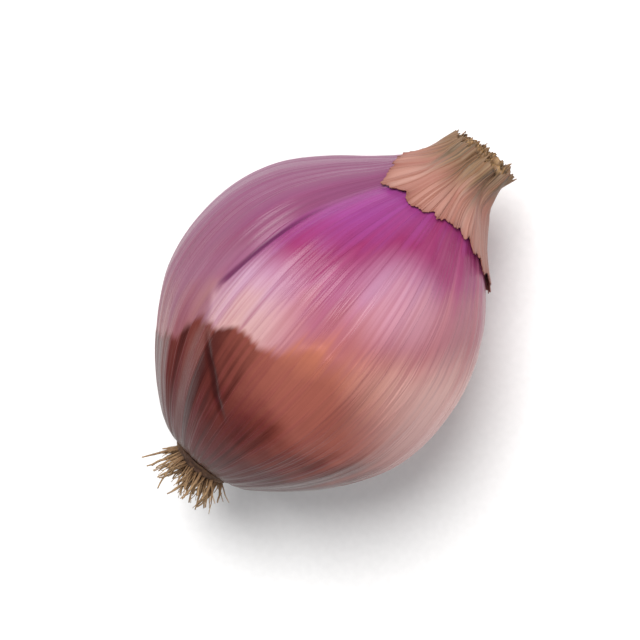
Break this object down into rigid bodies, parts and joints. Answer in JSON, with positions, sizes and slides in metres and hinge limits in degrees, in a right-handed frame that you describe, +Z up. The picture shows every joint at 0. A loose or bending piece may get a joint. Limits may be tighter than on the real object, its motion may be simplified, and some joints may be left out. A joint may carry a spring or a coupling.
{
  "type": "shallot",
  "caption": "Pink shallot lying on its side: a fat ribbed bulb with a short dried neck, torn papery outer skin round the neck and a tuft of short roots",
  "frame": {"origin": "centre of the small flat rest spot under the bulb, on the surface that it lies on", "axes": "+Y level from the root end to the neck, +Z up, +X to the right as seen from above with the neck away"},
  "size_m": [0.0459, 0.0678, 0.0418],
  "materials": {
    "bulb_skin": null,
    "papery_skin": null,
    "dried_roots": null
  },
  "bodies": {
    "root": {"bulb": "bulb_skin", "papery_skin": "papery_skin", "root_tuft": "dried_roots"}
  },
  "joints": []
}
